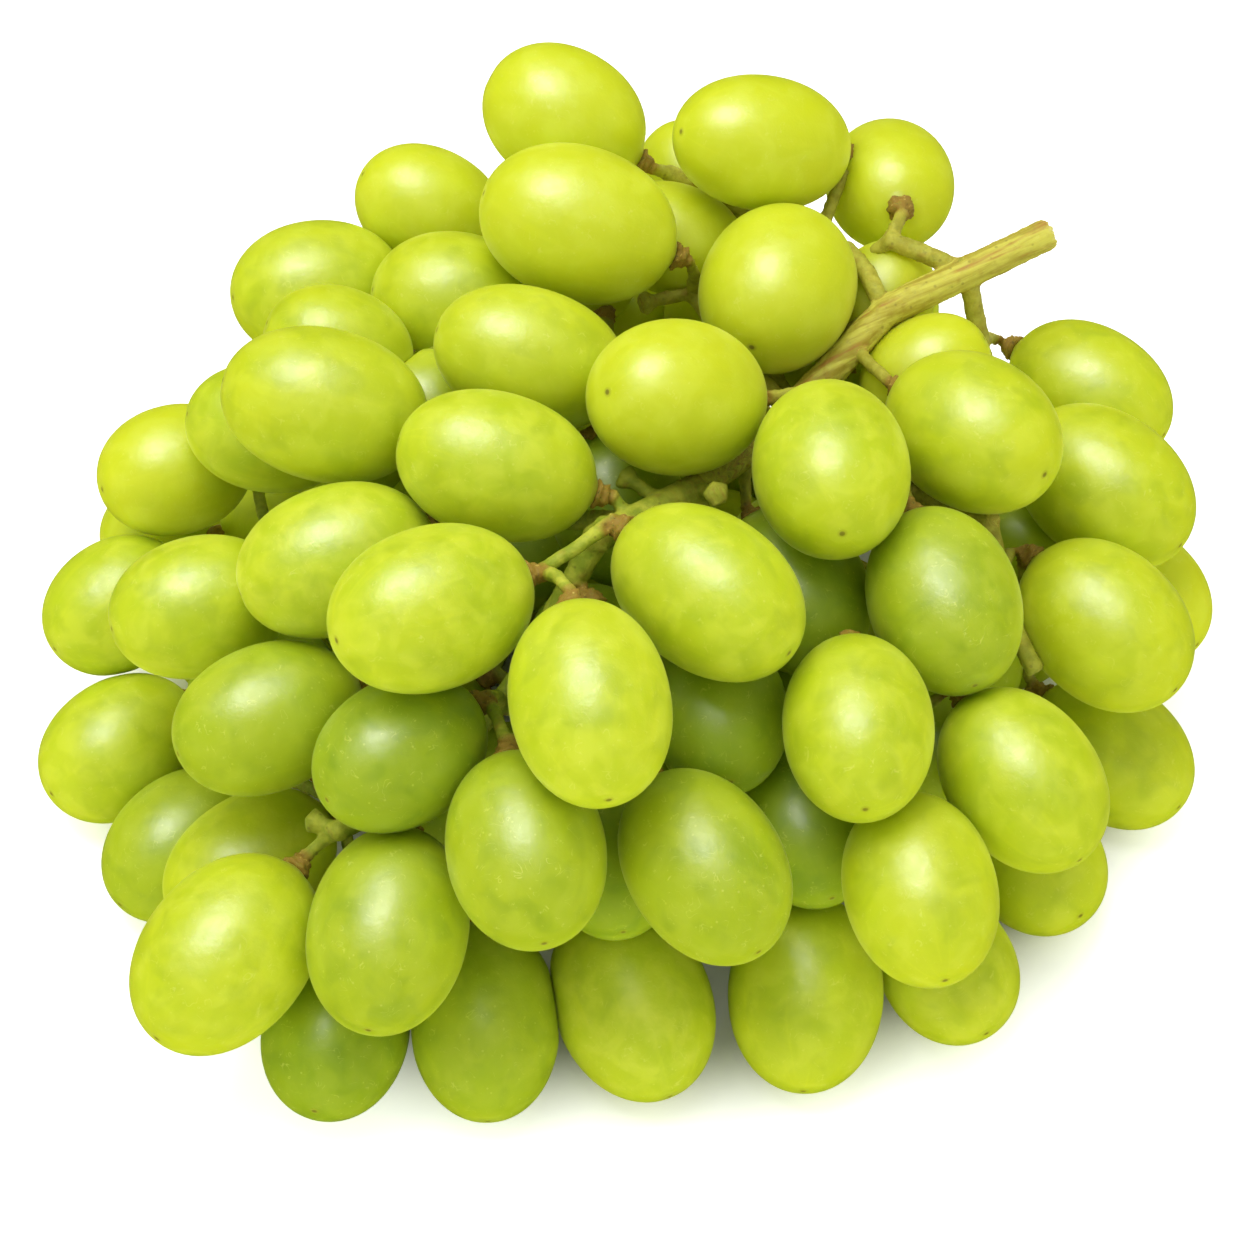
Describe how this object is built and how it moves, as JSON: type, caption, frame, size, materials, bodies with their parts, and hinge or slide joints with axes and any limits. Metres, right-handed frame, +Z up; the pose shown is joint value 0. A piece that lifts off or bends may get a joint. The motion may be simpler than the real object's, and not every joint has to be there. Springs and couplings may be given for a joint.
{
  "type": "bunch of grapes",
  "caption": "Bunch of green seedless table grapes lying on a flat surface, its berries on a branched stem whose cut end points up and to one side.",
  "frame": {"origin": "on the surface the bunch lies on, under the middle of the bunch's bounding box", "axes": "+Z up from the surface; +X toward the side the cut stem end points to, along the bunch's longest extent; +Y away from the front, toward the crown"},
  "size_m": [0.17, 0.1478, 0.0777],
  "materials": {
    "berry_skin": "satin, waxy bloom over translucent yellow-green flesh",
    "stem_bark": "matte, green-olive with brown nodes"
  },
  "bodies": {
    "root": {"stem": "stem_bark", "berry_crown_left": "berry_skin", "berry_crown_middle": "berry_skin", "berry_crown_right": "berry_skin", "berry_upper_left_1": "berry_skin", "berry_upper_left_2": "berry_skin", "berry_top_1": "berry_skin", "berry_top_2": "berry_skin", "berry_upper_left_3": "berry_skin", "berry_upper_left_4": "berry_skin", "berry_top_3": "berry_skin", "berry_left_1": "berry_skin", "berry_left_2": "berry_skin", "berry_left_3": "berry_skin", "berry_top_4": "berry_skin", "berry_top_5": "berry_skin", "berry_right_1": "berry_skin", "berry_right_2": "berry_skin", "berry_right_3": "berry_skin", "berry_right_4": "berry_skin", "berry_right_5": "berry_skin", "berry_right_6": "berry_skin", "berry_left_4": "berry_skin", "berry_front_1": "berry_skin", "berry_front_2": "berry_skin", "berry_front_3": "berry_skin", "berry_right_7": "berry_skin", "berry_right_8": "berry_skin", "berry_left_5": "berry_skin", "berry_left_6": "berry_skin", "berry_left_7": "berry_skin", "berry_left_8": "berry_skin", "berry_left_9": "berry_skin", "berry_left_10": "berry_skin", "berry_left_11": "berry_skin", "berry_front_4": "berry_skin", "berry_front_5": "berry_skin", "berry_front_6": "berry_skin", "berry_front_7": "berry_skin", "berry_front_8": "berry_skin", "berry_floor_1": "berry_skin", "berry_floor_2": "berry_skin", "berry_floor_3": "berry_skin", "berry_floor_4": "berry_skin", "berry_floor_5": "berry_skin", "berry_floor_6": "berry_skin", "berry_floor_7": "berry_skin", "berries_heart_7": "berry_skin", "berries_back_middle_3": "berry_skin", "berries_underside_2": "berry_skin", "berries_back_middle_1": "berry_skin", "berries_heart_6": "berry_skin", "berries_back_middle_2": "berry_skin", "berries_underside_1": "berry_skin", "berries_heart_4": "berry_skin", "berries_heart_5": "berry_skin", "berries_heart_1": "berry_skin", "berries_heart_2": "berry_skin", "berries_heart_8": "berry_skin", "berries_heart_3": "berry_skin"}
  },
  "joints": []
}
